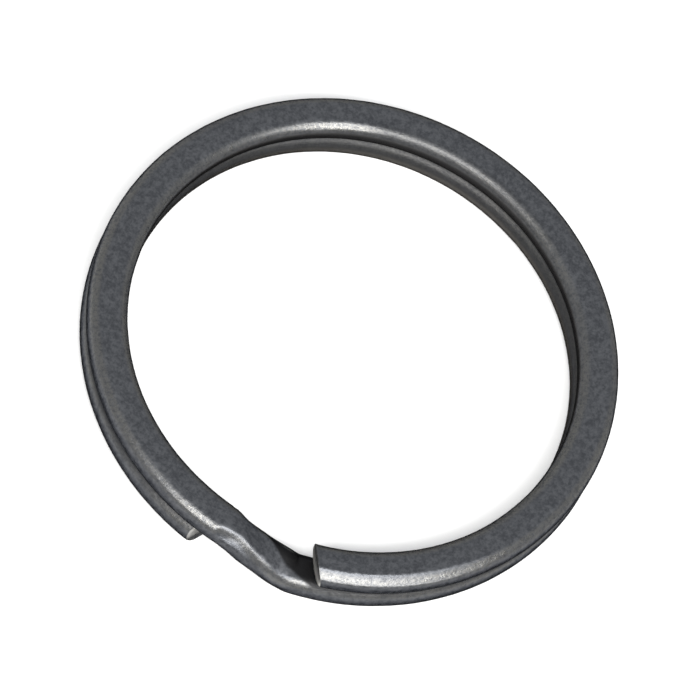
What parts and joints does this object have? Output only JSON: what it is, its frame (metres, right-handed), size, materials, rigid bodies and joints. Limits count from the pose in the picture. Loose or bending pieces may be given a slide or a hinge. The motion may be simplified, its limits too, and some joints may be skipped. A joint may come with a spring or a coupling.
{
  "type": "split key ring",
  "caption": "Springy double-turn wire ring whose free ends pry apart so that a key or tag can be worked round onto it.",
  "frame": {"origin": "on the ring's own axis, halfway between the two turns", "axes": "+Z along the ring's axis; the crossover is on -Y; the upper cut end is 13.4 degrees anticlockwise of it, seen from +Z"},
  "size_m": [0.025, 0.025, 0.0026],
  "materials": {
    "spring_steel": "tumbled, blackened gunmetal with brighter worn shoulders"
  },
  "bodies": {
    "lower_free_turn": {"lower_free_turn": "spring_steel"},
    "crossover_and_roots": {"crossover_bend": "spring_steel", "upper_root_arc": "spring_steel", "lower_root_arc": "spring_steel"},
    "upper_free_turn": {"upper_free_turn": "spring_steel"}
  },
  "joints": [
    {"name": "lower_turn_opening", "type": "hinge", "parent": "lower_free_turn", "child": "crossover_and_roots", "pos_m": [0.00268, 0.01124, -0.00068], "axis": [-0.9728, 0.2317, 0], "range_deg": [0, 7.46], "stiffness_Nm_per_rad": 3.53},
    {"name": "upper_turn_opening", "type": "hinge", "parent": "crossover_and_roots", "child": "upper_free_turn", "pos_m": [-0.00268, 0.01124, 0.00068], "axis": [-0.9728, -0.2317, 0], "range_deg": [0, 7.46], "stiffness_Nm_per_rad": 3.53}
  ]
}
